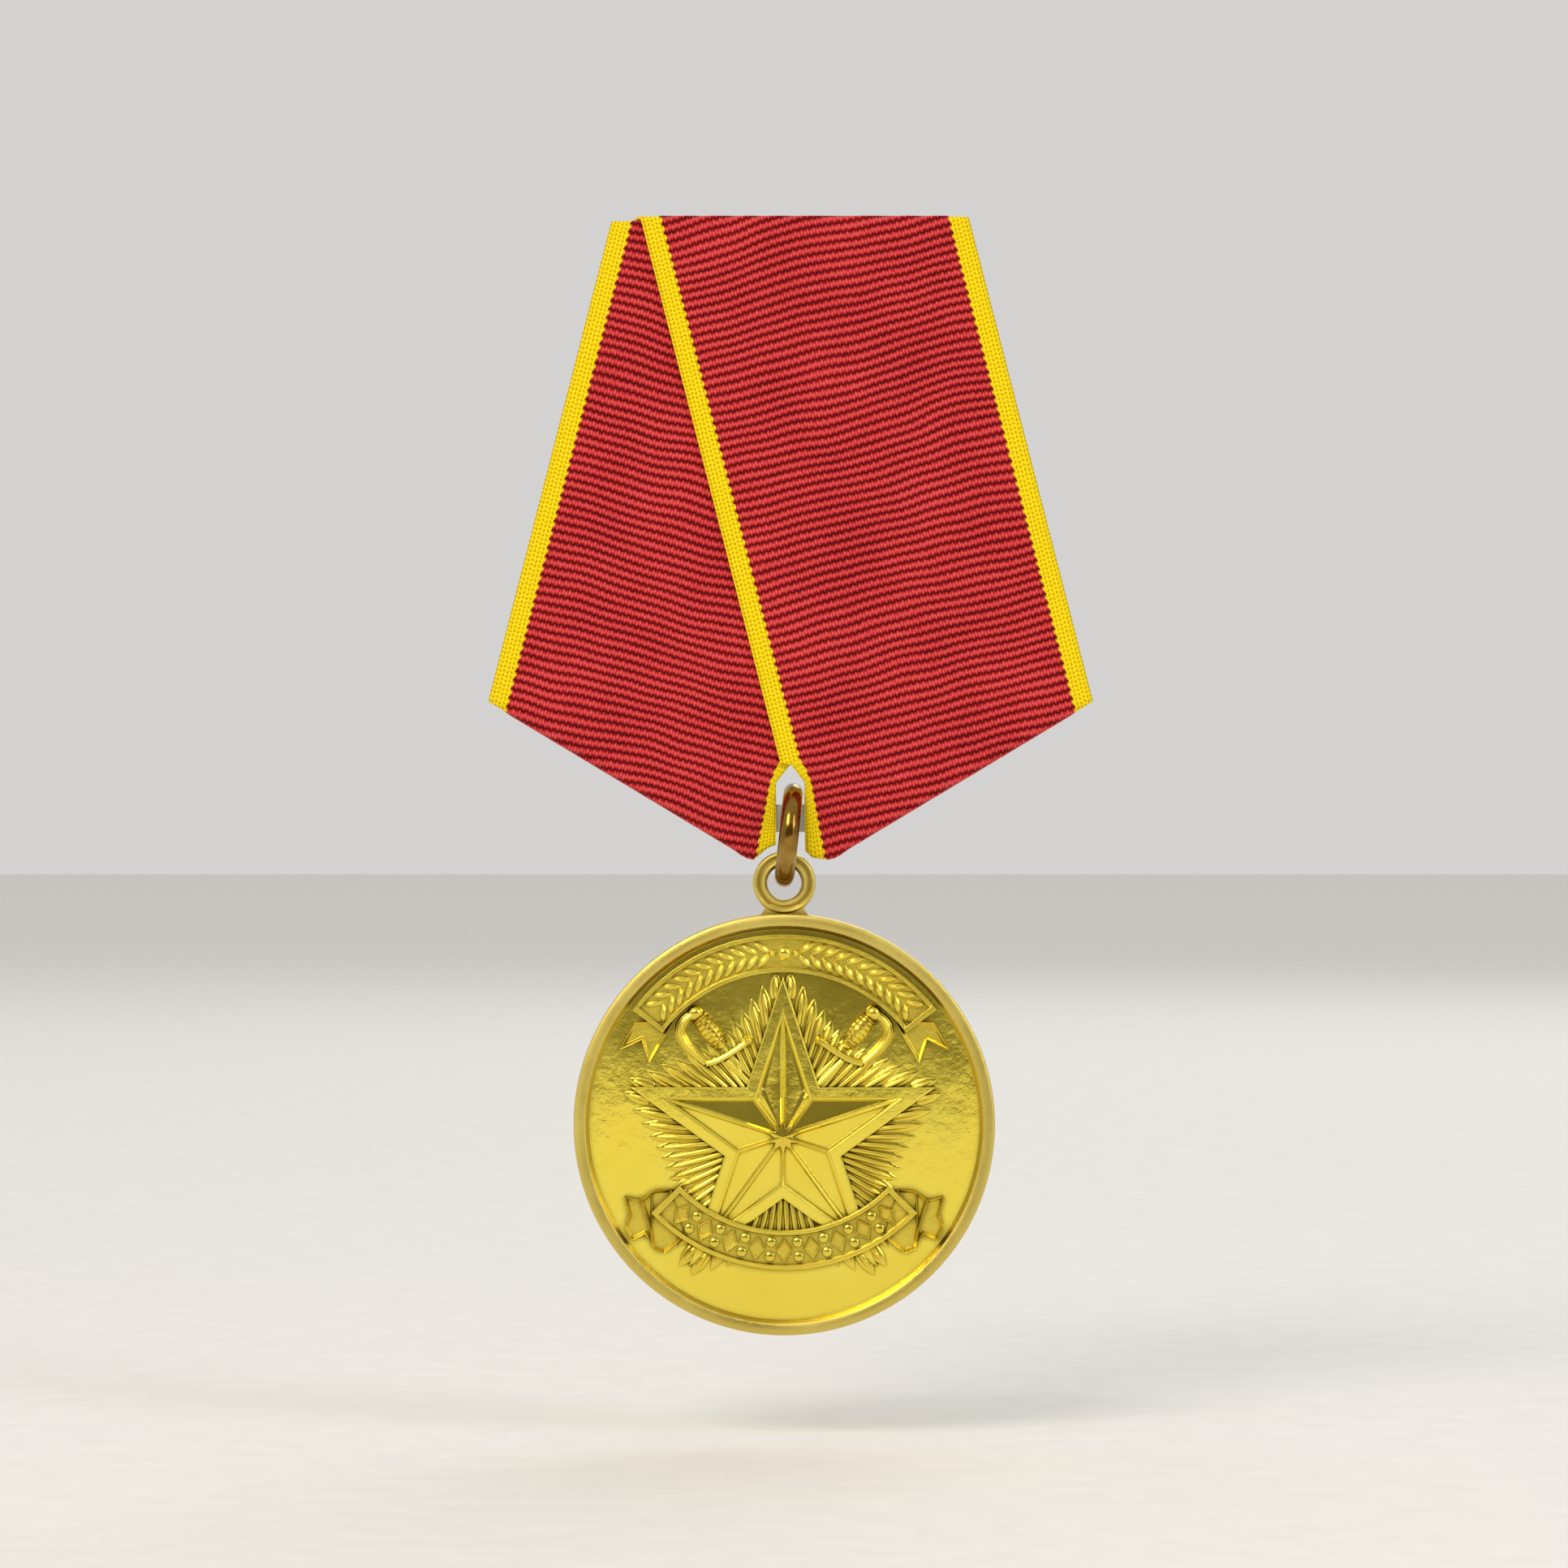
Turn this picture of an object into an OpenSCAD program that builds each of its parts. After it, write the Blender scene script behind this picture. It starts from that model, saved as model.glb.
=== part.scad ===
// Service medal: a struck disc on a jump ring, hung from a ribbon-covered five-sided block
// with a safety pin on its back. Millimetres, front towards -Y, +X to the right seen from
// the front, +Z up. The origin is on the needle's axis, halfway across the block.

/* [Block] */
// Width of the block across its two lower corners, over the ribbon
block_w = 46; // [38:0.5:56]
// Height of the block from its foot to its top edge, over the ribbon
block_h = 48.9; // [43:0.1:60]
// Width of the block's top edge
top_w = 27; // [22:0.5:33]
// Height of the two lower corners above the foot
corner_rise = 11.9; // [9:0.1:15]
// Width of the blunt foot that the two lower edges run down to
foot_w = 6.4; // [5:0.2:8]
// Thickness of the pressed base plate
plate_t = 0.8; // [0.5:0.05:1.2]
// Thickness of the base plate's folded side walls and lips
wall_t = 0.6; // [0.4:0.05:0.8]
// Width of the lips that hold the back plate
lip_w = 1.2; // [0.8:0.1:1.6]
// Thickness of the back plate
back_t = 0.6; // [0.4:0.05:1]

/* [Ribbon] */
// Thickness of the woven ribbon
ribbon_t = 0.35; // [0.2:0.05:0.5]
// Half the gap between the two legs where they turn round the lower edges
leg_gap = 1.1; // [0.9:0.05:1.4]
// Length of each end that is turned over to the back
flap_l = 8; // [5:0.5:10]

/* [Ring] */
// Outer diameter of the jump ring
ring_d = 8; // [7.4:0.1:9]
// Diameter of the ring's wire
wire_d = 1.5; // [1.2:0.05:1.6]
// Sideways lean of the ring on its bar, in degrees
ring_lean = 6; // [0:1:8]
// Height of the plate's bar that the ring hangs on
bar_h = 2.1; // [1.6:0.1:2.4]
// Height of that bar's lower edge above the block's foot
bar_bottom = 2.05; // [1.9:0.05:2.6]

/* [Medal] */
// Diameter of the disc
disc_d = 32; // [28:0.5:38]
// Thickness of the disc at its rim
disc_t = 2.6; // [2:0.1:3.2]
// Width of the raised rim
rim_w = 1.2; // [0.8:0.1:2]
// Depth of the field below the rim
field_depth = 0.4; // [0.2:0.05:0.6]
// Height of the star and the scrolls above the field
relief_h = 0.3; // [0.1:0.05:0.5]
// Outer diameter of the eyelet
eyelet_d = 4.8; // [4.4:0.1:5.2]
// Diameter of the eyelet's hole
eyelet_hole_d = 2.6; // [2.4:0.05:2.8]
// Thickness of the eyelet
eyelet_t = 1.6; // [1.2:0.1:2]
// How far the eyelet's centre stands above the disc's edge
eyelet_rise = 2.35; // [2.1:0.05:2.6]

/* [Pin] */
// Height of the needle above the block's foot
pin_height = 36; // [32:0.5:38]
// Height of that strip
pin_bar_w = 5; // [4.5:0.1:7]
// Thickness of that strip and of its two ears
pin_bar_t = 0.6; // [0.4:0.05:0.8]
// Diameter of the needle
needle_d = 1; // [0.8:0.05:1.1]
// Height of the needle's axis above the strip
stand_off = 1.6; // [1.55:0.05:2]
// Diameter of the hinge pin
hinge_d = 1; // [0.8:0.05:1.2]
// Outer diameter of the needle's eye
eye_d = 2.6; // [2.2:0.1:2.8]

/* [Hidden] */
$fn = 96;
pad = 1;  // how far a cutting shape runs past what it cuts

// The block's outline: the slopes of its lower and long edges.
foot_x = foot_w / 2;
low_slope = corner_rise / (block_w / 2 - foot_x);
side_slope = (block_w - top_w) / 2 / (block_h - corner_rise);
low_angle = atan(low_slope);
side_angle = atan(side_slope);
side_inset = 0.3;      // the base plate stands this far inside the ribbon's edges
sheet_gap = 0.1;       // between the back plate or a flap and the side walls
low_inset = ribbon_t;  // one layer of ribbon passes under each lower edge
top_inset = 2 * ribbon_t;
inner_inset = side_inset + wall_t + sheet_gap;

// Depths behind the base plate's front face.
flap_y = plate_t;
back_y = plate_t + 2 * ribbon_t;
lip_y = back_y + back_t;
strip_y = lip_y;
needle_y = strip_y + pin_bar_t + stand_off;

// The ribbon is woven wide enough for its legs to meet at the gap.
leg_top = block_h * side_slope - leg_gap;
ribbon_w = (top_w / 2 + leg_top) * cos(side_angle);

// The ring hangs on the bar, and it clears the bar's corners as it swings round it.
wire_r = wire_d / 2;
ring_r = (ring_d - wire_d) / 2;
ring_play = 0.05;
ring_y = plate_t / 2;
bar_z = bar_bottom + bar_h / 2;
bar_reach = norm([bar_h / 2, plate_t / 2]);
ring_lift = (bar_reach + ring_play + wire_r) / cos(ring_lean);
ring_x = -(ring_r - ring_lift) * sin(ring_lean);
ring_z = bar_z - (ring_r - ring_lift) * cos(ring_lean);
split_w = 0.08;  // the closed saw cut in the ring

// The eyelet hangs on the ring's lowest wire, which curves up on both sides of it.
sway_x = ring_x - ring_r * sin(ring_lean);
sway_z = ring_z - ring_r * cos(ring_lean);
wire_rise = (ring_r - wire_r) - sqrt(pow(ring_r - wire_r, 2) - pow(eyelet_t / 2, 2));
eyelet_play = 0.04;
eyelet_z = sway_z - (eyelet_hole_d / 2 - wire_r - wire_rise - eyelet_play);
disc_z = eyelet_z - eyelet_rise - disc_d / 2;

// Openings for the ring and the eyelet.
slit_w = wire_d + 0.7;
slit_shoulder = bar_bottom + bar_h + wire_d + 0.15;
slit_top = slit_shoulder + slit_w * 0.64;
hole_w = slit_w + 0.4;
hole_top = slit_top + 0.3;
notch_r = eyelet_d / 2 + 0.2;
back_clear = 0.5;  // between the ring's opening and the back plate
flap_clear = 0.6;  // between the ring's wire and the flaps

// The strip is cut to the half millimetre that fits between the lips at its top corners.
strip_gap = 0.1;
lip_in = (side_inset + wall_t + lip_w) / cos(side_angle);
lip_room = block_w / 2 - lip_in - (pin_height + pin_bar_w / 2 - corner_rise) * side_slope;
pin_bar_l = floor(4 * (lip_room - strip_gap)) / 2;

// The pin's parts along the needle's axis, from the origin.
hinge_x = -(pin_bar_l / 2 - 1.5);
ear_r = 1.4;
side_gap = 0.08;  // between the eye and each ear
running_gap = 0.05;
neck_l = 0.35;
neck_end = hinge_x + eye_d / 2 + neck_l;
catch_x = pin_bar_l / 2 - 3.5;
catch_l = 3;
shank_end = catch_x - catch_l / 2 - 2;
tip_x = pin_bar_l / 2 - 0.3;
tip_r = 0.06;
barrel_bore_r = needle_d / 2 + 0.15;
barrel_r = barrel_bore_r + 0.4;
housing_bore_r = barrel_r + running_gap;
housing_r = housing_bore_r + 0.4;
catch_slot = needle_d + 0.2;
flange_t = 0.4;
lever_l = 1.5;
rivet_x = 6;
rivet_r = 0.7;
rivet_head_r = 1.1;
rivet_head_h = 0.3;

// The struck design, measured from the disc's centre.
star_r = disc_d * 0.38;
star_notch_r = star_r * 0.382;
top_band = [disc_d * 0.3625, disc_d * 0.453];
low_band = [disc_d * 0.344, disc_d * 0.4375];
low_band_z = disc_d * 0.094;

// Corners of the block's outline with its sides, top and lower edges moved in.
function outline(side, top, low) =
    let (a = low / cos(low_angle) - foot_x * low_slope,
         b = block_w / 2 - side / cos(side_angle),
         top_z = block_h - top,
         foot = (low - a) / low_slope,
         corner_x = (b + (corner_rise - a) * side_slope) / (1 + low_slope * side_slope),
         corner_z = corner_x * low_slope + a,
         top_x = b - (top_z - corner_rise) * side_slope)
    [[-foot, low], [foot, low], [corner_x, corner_z], [top_x, top_z], [-top_x, top_z],
     [-corner_x, corner_z]];

// Puts a shape drawn from the base plate's front face and the block's foot into the frame.
module in_block() {
    translate([0, -needle_y, -pin_height]) children();
}

// Stands a flat outline up, from one depth to another.
module sheet(front, back) {
    translate([0, back, 0]) rotate([90, 0, 0]) linear_extrude(back - front) children();
}

// The half-plane above or below a height, as a wide flat rectangle.
module above(z) {
    translate([-block_w, z]) square([2 * block_w, 2 * block_h]);
}

module below(z) {
    translate([-block_w, z - 2 * block_h]) square([2 * block_w, 2 * block_h]);
}

// The slit between the legs, with a pointed top, and the notch that the eyelet sways in.
module ring_slit() {
    polygon([[-slit_w / 2, -pad], [slit_w / 2, -pad], [slit_w / 2, slit_shoulder],
             [0, slit_top], [-slit_w / 2, slit_shoulder]]);
    translate([sway_x, sway_z]) circle(r = notch_r);
}

module base_plate() {
    color("gainsboro") in_block() {
        difference() {
            sheet(0, plate_t) polygon(outline(side_inset, top_inset, low_inset));
            // the hole above the bar
            sheet(-pad, plate_t + pad) {
                translate([-hole_w / 2, bar_bottom + bar_h])
                    square([hole_w, hole_top - bar_bottom - bar_h - hole_w / 2]);
                translate([0, hole_top - hole_w / 2]) circle(d = hole_w);
                translate([-hole_w / 2, bar_bottom + bar_h])
                    square([hole_w, hole_w / 4]);
            }
            // the open notch below it
            sheet(-pad, plate_t + pad) {
                translate([-hole_w / 2, -pad]) square([hole_w, bar_bottom + pad]);
                translate([sway_x, sway_z]) circle(r = notch_r);
            }
        }
        for (side = [0, 1]) mirror([side, 0, 0]) {
            // folded wall
            sheet(plate_t, lip_y + wall_t) intersection() {
                difference() {
                    polygon(outline(side_inset, top_inset, low_inset));
                    polygon(outline(side_inset + wall_t, -pad, -pad));
                }
                wall_side();
            }
            // lip over the back plate
            sheet(lip_y, lip_y + wall_t) intersection() {
                difference() {
                    polygon(outline(side_inset, top_inset, low_inset));
                    polygon(outline(side_inset + wall_t + lip_w, -pad, -pad));
                }
                wall_side();
            }
        }
    }
}

// The right-hand half above the lower corner, where the walls are folded.
module wall_side() {
    translate([0, corner_rise + 1]) square([block_w, block_h - corner_rise - 3]);
}

// Front of the left leg, down to the lower edge.
module leg_outline() {
    polygon([[-top_w / 2, block_h], [leg_top, block_h],
             [-leg_gap, 0], [-foot_x, 0], [-block_w / 2, corner_rise]]);
}

// Back flap of the left leg at the top: the strip goes on past the fold, seen from behind.
module top_flap(fold_z) {
    intersection() {
        polygon([[-top_w / 2, fold_z], [leg_top, fold_z],
                 [leg_top + flap_l * side_slope, fold_z - flap_l],
                 [-top_w / 2 + flap_l * side_slope, fold_z - flap_l]]);
        polygon(outline(inner_inset, 0, 0));
    }
}

// Back flap of the left leg at the lower edge, trimmed clear of the ring.
module low_flap() {
    turn = 2 * low_angle - side_angle;
    intersection() {
        polygon([[-block_w / 2, corner_rise], [-foot_x, 0], [-leg_gap, 0],
                 [-leg_gap, flap_l],
                 [-block_w / 2 + flap_l * sin(90 - turn + 2 * side_angle),
                  corner_rise + flap_l * cos(90 - turn + 2 * side_angle)]]);
        polygon(outline(inner_inset, 0, low_inset / 2));
        translate([-block_w, 0])
            square([block_w - wire_r + sway_x - flap_clear, block_h]);
    }
}

// One leg of the ribbon with both ends turned over, drawn as the left one. The under layer
// lies on the plate, and the over layer crosses on top of it.
module leg(layer) {
    front = -ribbon_t * (layer + 1);
    fold_z = block_h - ribbon_t * (1 - layer);
    top_back = flap_y + ribbon_t * (layer + 1);
    difference() {
        union() {
            sheet(front, front + ribbon_t) intersection() {
                leg_outline();
                below(fold_z);
            }
            // over the top edge
            sheet(front, top_back) intersection() {
                leg_outline();
                below(fold_z);
                above(fold_z - ribbon_t);
            }
            sheet(top_back - ribbon_t, top_back) top_flap(fold_z);
            // round the lower edge
            sheet(front, flap_y + ribbon_t) difference() {
                leg_outline();
                polygon(outline(-2 * pad, -pad, low_inset));
            }
            sheet(flap_y, flap_y + ribbon_t) low_flap();
        }
        sheet(-pad, back_y + pad) ring_slit();
    }
}

module ribbon_left() {
    color("crimson") in_block() leg(0);
}

module ribbon_right() {
    color("firebrick") in_block() mirror([1, 0, 0]) leg(1);
}

module back_plate() {
    color("silver") in_block() difference() {
        sheet(back_y, lip_y) intersection() {
            polygon(outline(inner_inset, top_inset, 2 * ribbon_t));
            above(hole_top + back_clear);
        }
        for (x = [-rivet_x, rivet_x]) translate([x, back_y - pad, pin_height])
            rotate([-90, 0, 0]) cylinder(r = rivet_r, h = back_t + 2 * pad);
    }
}

// An ear of the hinge, seen along the hinge pin: a round end on a straight foot.
module ear_outline() {
    circle(r = ear_r);
    translate([-ear_r, -stand_off - pin_bar_t]) square([2 * ear_r, stand_off + pin_bar_t]);
}

module pin_bar() {
    ear_z = needle_d / 2 + side_gap;
    color("lightsteelblue") difference() {
        union() {
            translate([-pin_bar_l / 2, -stand_off - pin_bar_t, -pin_bar_w / 2])
                cube([pin_bar_l, pin_bar_t, pin_bar_w]);
            for (z = [ear_z, -ear_z - pin_bar_t])
                translate([hinge_x, 0, z]) linear_extrude(pin_bar_t) ear_outline();
        }
        translate([hinge_x, 0, -pin_bar_w]) cylinder(d = hinge_d, h = 2 * pin_bar_w);
        for (x = [-rivet_x, rivet_x]) translate([x, -stand_off - pin_bar_t - pad, 0])
            rotate([-90, 0, 0]) cylinder(r = rivet_r, h = pin_bar_t + 2 * pad);
    }
}

// Two rivets, each a shank through both sheets with a low head on the strip.
module pin_bar_rivets() {
    color("gold") for (x = [-rivet_x, rivet_x])
        translate([x, -stand_off - pin_bar_t - back_t, 0]) rotate([-90, 0, 0]) {
            cylinder(r = rivet_r, h = back_t + pin_bar_t);
            translate([0, 0, back_t + pin_bar_t])
                cylinder(r1 = rivet_head_r, r2 = rivet_head_r * 0.7, h = rivet_head_h);
        }
}

module hinge_pin() {
    reach = needle_d / 2 + side_gap + pin_bar_t;
    color("gold") translate([hinge_x, 0, 0]) {
        translate([0, 0, -reach]) cylinder(d = hinge_d, h = 2 * reach);
        for (side = [0, 1]) mirror([0, 0, side]) translate([0, 0, reach])
            cylinder(d1 = hinge_d * 1.5, d2 = hinge_d, h = 0.25);
    }
}

module needle() {
    color("white") {
        difference() {
            union() {
                translate([hinge_x, 0, -needle_d / 2]) cylinder(d = eye_d, h = needle_d);
                // a short cone where the wire leaves its eye
                translate([hinge_x + hinge_d, 0, 0]) rotate([0, 90, 0])
                    cylinder(d1 = needle_d + side_gap, d2 = needle_d,
                             h = neck_end - hinge_x - hinge_d);
            }
            translate([hinge_x, 0, -needle_d])
                cylinder(r = hinge_d / 2 + running_gap, h = 2 * needle_d);
        }
        translate([neck_end, 0, 0]) rotate([0, 90, 0])
            cylinder(d = needle_d, h = shank_end - neck_end);
        translate([shank_end, 0, 0]) rotate([0, 90, 0])
            cylinder(r1 = needle_d / 2, r2 = tip_r, h = tip_x - shank_end);
    }
}

module catch_housing() {
    seat_w = 2 * housing_r * 0.8;
    color("silver") translate([catch_x - catch_l / 2, 0, 0]) difference() {
        union() {
            rotate([0, 90, 0]) cylinder(r = housing_r, h = catch_l);
            translate([0, -stand_off, -seat_w / 2]) cube([catch_l, stand_off, seat_w]);
        }
        translate([-pad, 0, 0]) rotate([0, 90, 0])
            cylinder(r = housing_bore_r, h = catch_l + 2 * pad);
        translate([-pad, 0, -catch_slot / 2])
            cube([catch_l + 2 * pad, housing_r + pad, catch_slot]);
    }
}

// The turning lock inside the housing, drawn open, with a flange at each end and a lever.
module catch_barrel() {
    length = catch_l + 2 * running_gap;
    color("gold") translate([catch_x - length / 2, 0, 0]) difference() {
        union() {
            rotate([0, 90, 0]) cylinder(r = barrel_r, h = length);
            for (x = [-flange_t, length]) translate([x, 0, 0]) rotate([0, 90, 0])
                cylinder(r = housing_r - running_gap, h = flange_t);
            translate([length, -0.45, -housing_r - lever_l])
                cube([flange_t, 0.9, housing_r + lever_l - barrel_bore_r]);
        }
        translate([-flange_t - pad, 0, 0]) rotate([0, 90, 0])
            cylinder(r = barrel_bore_r, h = length + 2 * (flange_t + pad));
        translate([-flange_t - pad, 0, -catch_slot / 2])
            cube([length + 2 * (flange_t + pad), housing_r + pad, catch_slot]);
    }
}

module jump_ring() {
    color("darkgoldenrod") in_block() translate([ring_x, ring_y, ring_z])
        rotate([0, ring_lean, 0]) difference() {
            rotate([0, 90, 0]) rotate_extrude() translate([ring_r, 0]) circle(d = wire_d);
            // the saw cut, at the back
            translate([-wire_d, 0, -split_w / 2]) cube([2 * wire_d, ring_d, split_w]);
        }
}

// A sector of a flat band, between two radii and two angles from straight up.
module band(radii, start, end) {
    step = (end - start) / 24;
    polygon(concat(
        [for (i = [0:24]) radii[1] * [sin(start + i * step), cos(start + i * step)]],
        [for (i = [24:-1:0]) radii[0] * [sin(start + i * step), cos(start + i * step)]]));
}

// A raised part of the design on the front of the disc.
module struck(height) {
    sheet(-disc_t / 2 + field_depth - height, -disc_t / 2 + field_depth + 0.1) children();
}

module medal_disc() {
    field_r = disc_d / 2 - rim_w;
    color("goldenrod") in_block() translate([sway_x, ring_y, disc_z]) {
        difference() {
            union() {
                sheet(-disc_t / 2, disc_t / 2) circle(d = disc_d);
                sheet(-eyelet_t / 2, eyelet_t / 2)
                    translate([0, disc_d / 2 + eyelet_rise]) circle(d = eyelet_d);
            }
            sheet(-disc_t, -disc_t / 2 + field_depth) circle(r = field_r);
            sheet(disc_t / 2 - field_depth, disc_t) circle(r = field_r);
            sheet(-disc_t, disc_t)
                translate([0, disc_d / 2 + eyelet_rise]) circle(d = eyelet_hole_d);
        }
        struck(relief_h) polygon([for (i = [0:9])
            let (r = i % 2 == 0 ? star_r : star_notch_r) r * [sin(36 * i), cos(36 * i)]]);
        struck(relief_h * 0.7) band(top_band, -55, 55);
        struck(relief_h) translate([0, low_band_z]) band(low_band, 134, 226);
    }
}

base_plate();
ribbon_left();
ribbon_right();
back_plate();
pin_bar();
pin_bar_rivets();
hinge_pin();
needle();
catch_housing();
catch_barrel();
jump_ring();
medal_disc();
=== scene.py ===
# %% [markdown]
# # A service medal on a ribbon-covered block
#
# The medal is a struck brass disc that hangs by a jump ring from a five-sided block with
# a blunt foot. The metal frame of the block and the pin on its back come from the packed
# model as they are.
# This script adds what the eye judges: the relief on the disc, the woven ribbon, the
# drawn wire of the ring, and the finish of every metal.

# %% Load the frame
import bpy
import bmesh
import math
from mathutils import Matrix, Vector, noise


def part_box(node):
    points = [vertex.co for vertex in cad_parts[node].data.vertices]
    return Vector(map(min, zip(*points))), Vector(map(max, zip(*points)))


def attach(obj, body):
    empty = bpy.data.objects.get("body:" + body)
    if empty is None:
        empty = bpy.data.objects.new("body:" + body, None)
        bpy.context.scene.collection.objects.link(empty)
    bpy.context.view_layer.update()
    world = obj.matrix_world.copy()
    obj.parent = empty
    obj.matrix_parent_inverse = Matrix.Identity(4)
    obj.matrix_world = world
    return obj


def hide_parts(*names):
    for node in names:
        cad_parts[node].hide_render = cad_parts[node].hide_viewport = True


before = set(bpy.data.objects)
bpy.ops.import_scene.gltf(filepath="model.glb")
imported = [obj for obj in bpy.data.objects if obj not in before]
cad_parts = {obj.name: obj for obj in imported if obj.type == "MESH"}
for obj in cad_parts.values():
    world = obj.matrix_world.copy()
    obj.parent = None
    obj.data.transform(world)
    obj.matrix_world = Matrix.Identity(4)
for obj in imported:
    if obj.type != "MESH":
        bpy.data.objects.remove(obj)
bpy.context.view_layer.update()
MM = 0.001

# %% [markdown]
# Every size below is in millimetres, as on a workshop drawing. Places come from the
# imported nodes: the disc's centre from the disc, the block's top and side from the ribbon.

# %% Places that the frame gives
disc_low, disc_high = [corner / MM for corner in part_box("medal_disc")]
plate_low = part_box("base_plate")[0] / MM
over_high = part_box("ribbon_right")[1] / MM
ring_low, ring_high = [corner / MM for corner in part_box("jump_ring")]
disc_r = (disc_high.x - disc_low.x) / 2
disc_place = Vector(((disc_low.x + disc_high.x) / 2, (disc_low.y + disc_high.y) / 2,
                     disc_low.z + disc_r))
plate_y = plate_low.y
print("disc radius", round(disc_r, 2), "centre", [round(c, 2) for c in disc_place])

# %% [markdown]
# Colours are written as the hex values that a paint chart would give, so one function
# turns them to the linear numbers that a shader works in. A second one adds a node with
# its settings and its links. Every finish below is built from these two.

# %% Helpers for materials


def hex_colour(text, alpha=1.0):
    """A linear colour from an sRGB hex value."""
    parts = [int(text[i:i + 2], 16) / 255 for i in (1, 3, 5)]
    return (*[c / 12.92 if c <= 0.04045 else ((c + 0.055) / 1.055) ** 2.4
              for c in parts], alpha)


def add(tree, kind, links=None, inputs=None, **settings):
    """Adds a node, sets its properties and inputs, and links sockets into its inputs."""
    made = tree.nodes.new("ShaderNode" + kind)
    for name, value in settings.items():
        setattr(made, name, value)
    for key, value in (inputs or {}).items():
        made.inputs[key].default_value = value
    for key, socket in (links or {}).items():
        tree.links.new(socket, made.inputs[key])
    return made


def new_finish(name, **shader_inputs):
    """A material with its shader, whose uniform values are set on the shader itself."""
    finish = bpy.data.materials.new(name)
    finish.use_nodes = True
    shader = finish.node_tree.nodes["Principled BSDF"]
    for key, value in shader_inputs.items():
        shader.inputs[key.replace("_", " ")].default_value = value
    return finish, finish.node_tree, shader


def ramp(tree, source, stops, interpolation="LINEAR"):
    """A colour ramp over a value, from (position, hex colour) stops."""
    made = add(tree, "ValToRGB", {"Fac": source})
    made.color_ramp.interpolation = interpolation
    while len(made.color_ramp.elements) < len(stops):
        made.color_ramp.elements.new(0.5)
    for element, (position, colour) in zip(made.color_ramp.elements, stops):
        element.position = position
        element.color = hex_colour(colour)
    return made.outputs["Color"]


# %% [markdown]
# Gilt brass. The disc is struck from brass, so its open field takes the mirror of the
# die, while the rim and the hollows of the relief keep a grain. Handling leaves fine
# scratches and specks of a thin brown film. The hollows, where no cloth reaches, are
# darkened towards the same brown, read from ambient occlusion: partly a real film and
# partly painted shade. The eye reads struck work by the bright, softened edge of every
# form, so a small bevel on the normal rounds what the press would round.

# %% Struck brass


def struck_brass(name, light, mid, film_and_painted_shade, roughness, film_amount, grain=0.0):
    finish, tree, shader = new_finish(name, Metallic=1.0)
    place = add(tree, "TexCoord").outputs["Object"]
    cloud = add(tree, "TexNoise", {"Vector": place},
                {"Scale": 1 / (6 * MM), "Detail": 6.0, "Roughness": 0.62})
    speck = add(tree, "TexNoise", {"Vector": place},
                {"Scale": 1 / (0.9 * MM), "Detail": 5.0, "Roughness": 0.75})
    hidden = add(tree, "AmbientOcclusion", inputs={"Distance": 0.6 * MM}, samples=6)
    base = add(tree, "Mix", {"Factor": cloud.outputs["Fac"]}, data_type="RGBA")
    base.inputs["A"].default_value = hex_colour(mid)
    base.inputs["B"].default_value = hex_colour(light)
    spots = add(tree, "MapRange", {"Value": speck.outputs["Fac"]},
                {"From Min": 0.66, "From Max": 0.76, "To Max": film_amount})
    # the hollows found by ambient occlusion are darkened towards the film colour: partly a
    # real brown film and partly painted shade
    painted_crevice_shade = add(tree, "MapRange", {"Value": hidden.outputs["AO"]},
                  {"From Min": 0.3, "From Max": 0.86, "To Min": 0.95, "To Max": 0.0})
    stain_and_painted_shade = add(tree, "Math", {0: spots.outputs[0], 1: painted_crevice_shade.outputs[0]},
                operation="MAXIMUM")
    colour = add(tree, "Mix", {"Factor": stain_and_painted_shade.outputs[0], "A": base.outputs["Result"]},
                 data_type="RGBA")
    colour.inputs["B"].default_value = hex_colour(film_and_painted_shade)
    tree.links.new(colour.outputs["Result"], shader.inputs["Base Color"])
    matt = add(tree, "MapRange", {"Value": cloud.outputs["Fac"]},
               {"From Min": 0.3, "From Max": 0.75, "To Min": roughness * 0.7,
                "To Max": roughness * 1.5})
    rough = add(tree, "Math", {0: stain_and_painted_shade.outputs[0], 2: matt.outputs[0]},
                {1: 0.25}, operation="MULTIPLY_ADD")
    tree.links.new(rough.outputs[0], shader.inputs["Roughness"])
    stretch = add(tree, "Mapping", {"Vector": place},
                  {"Scale": (1.0, 1.0, 0.12), "Rotation": (0.0, 0.6, 0.0)})
    lines = add(tree, "TexNoise", {"Vector": stretch.outputs[0]},
                {"Scale": 1 / (0.16 * MM), "Detail": 3.0})
    pits = add(tree, "TexNoise", {"Vector": place}, {"Scale": 1 / (0.07 * MM)})
    rounded = add(tree, "Bevel", inputs={"Radius": 0.07 * MM}, samples=6)
    waves = add(tree, "Bump", {"Height": cloud.outputs["Fac"], "Normal": rounded.outputs[0]},
                {"Strength": 0.12, "Distance": 0.5 * MM})
    fine = add(tree, "Bump", {"Height": lines.outputs["Fac"], "Normal": waves.outputs[0]},
               {"Strength": 0.10, "Distance": 0.02 * MM})
    grainy = add(tree, "Bump", {"Height": pits.outputs["Fac"], "Normal": fine.outputs[0]},
                 {"Strength": grain, "Distance": 0.03 * MM})
    tree.links.new(grainy.outputs[0], shader.inputs["Normal"])
    return finish


field_brass = struck_brass("polished_struck_brass", "#FBEE68", "#EFD240", "#4A3206",
                           0.12, 0.5)
relief_brass = struck_brass("struck_brass_relief", "#FBEA64", "#E6C43A", "#382605",
                            0.2, 0.35, 0.15)
rim_brass = struck_brass("tumbled_brass_rim", "#E8D676", "#CDB352", "#65491A",
                         0.36, 0.45, 0.7)

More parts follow.
